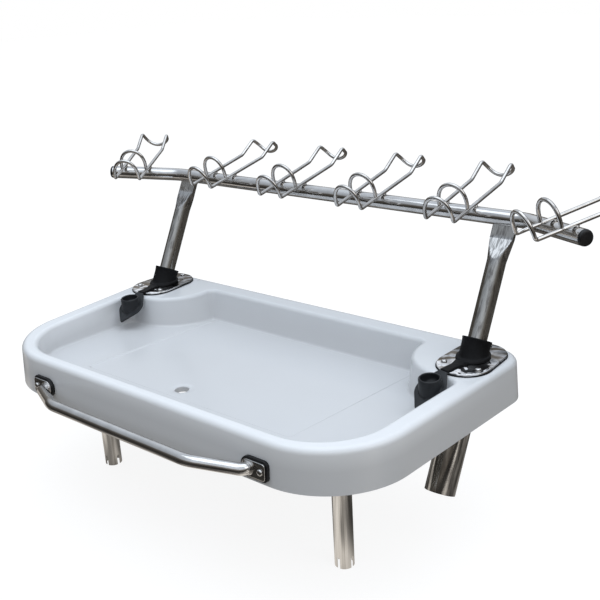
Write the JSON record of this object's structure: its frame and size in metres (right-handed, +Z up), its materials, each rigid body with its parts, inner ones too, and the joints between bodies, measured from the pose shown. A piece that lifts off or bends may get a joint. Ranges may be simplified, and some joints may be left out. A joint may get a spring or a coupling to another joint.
{
  "type": "bait board",
  "caption": "Moulded bait board with a sunken well, a front grab handle, plug-in legs and a lift-off rack of wire rod rests.",
  "frame": {"origin": "midway between the lower ends of the two legs", "axes": "+X to the user's right along the front, +Y to the back where the rack stands, +Z up"},
  "size_m": [1.1613, 0.714, 0.5645],
  "materials": {
    "white_plastic": "glossy moulded skin",
    "polished_steel": "polished stainless",
    "satin_steel": "brushed stainless",
    "black_rubber": "matt",
    "black_plastic": "satin"
  },
  "bodies": {
    "board": {"grab_handle": "polished_steel", "left_flange_nut_1": "polished_steel", "left_flange_nut_2": "polished_steel", "left_flange_nut_3": "polished_steel", "left_flange_screw_1": "polished_steel", "left_flange_screw_2": "polished_steel", "left_flange_screw_3": "polished_steel", "left_handle_nut": "polished_steel", "left_handle_pad": "black_plastic", "left_handle_screw": "polished_steel", "left_holder_gasket": "black_rubber", "left_holder_pin": "polished_steel", "left_holder_sleeve": "black_rubber", "left_leg": "satin_steel", "left_leg_screw_1": "polished_steel", "left_leg_screw_2": "polished_steel", "left_leg_screw_3": "polished_steel", "left_rod_holder": "polished_steel", "right_flange_nut_1": "polished_steel", "right_flange_nut_2": "polished_steel", "right_flange_nut_3": "polished_steel", "right_flange_screw_1": "polished_steel", "right_flange_screw_2": "polished_steel", "right_flange_screw_3": "polished_steel", "right_handle_nut": "polished_steel", "right_handle_pad": "black_plastic", "right_handle_screw": "polished_steel", "right_holder_gasket": "black_rubber", "right_holder_pin": "polished_steel", "right_holder_sleeve": "black_rubber", "right_leg": "satin_steel", "right_leg_screw_1": "polished_steel", "right_leg_screw_2": "polished_steel", "right_leg_screw_3": "polished_steel", "right_rod_holder": "polished_steel", "tray": "white_plastic"},
    "rack": {"left_rack_post": "satin_steel", "left_rail_plug": "black_plastic", "rack_rail": "polished_steel", "rest_hoop_1": "polished_steel", "rest_hoop_2": "polished_steel", "rest_hoop_3": "polished_steel", "rest_hoop_4": "polished_steel", "rest_hoop_5": "polished_steel", "rest_hoop_6": "polished_steel", "right_rack_post": "satin_steel", "right_rail_plug": "black_plastic", "rod_rest_1": "polished_steel", "rod_rest_2": "polished_steel", "rod_rest_3": "polished_steel", "rod_rest_4": "polished_steel", "rod_rest_5": "polished_steel", "rod_rest_6": "polished_steel"},
    "left_cap": {"left_holder_cap": "black_rubber"},
    "right_cap": {"right_holder_cap": "black_rubber"}
  },
  "joints": [
    {"name": "rack_lift", "type": "slide", "parent": "board", "child": "rack", "axis": [0, 0.461, 0.8874], "range_m": [0, 0.262]},
    {"name": "left_cap_swing", "type": "hinge", "parent": "board", "child": "left_cap", "pos_m": [-0.36058, 0.17957, 0.2879], "axis": [-0.989, -0.1478, 0], "range_deg": [0, 140]},
    {"name": "right_cap_swing", "type": "hinge", "parent": "board", "child": "right_cap", "pos_m": [0.36058, 0.17957, 0.2879], "axis": [-0.989, 0.1478, 0], "range_deg": [0, 140]}
  ]
}
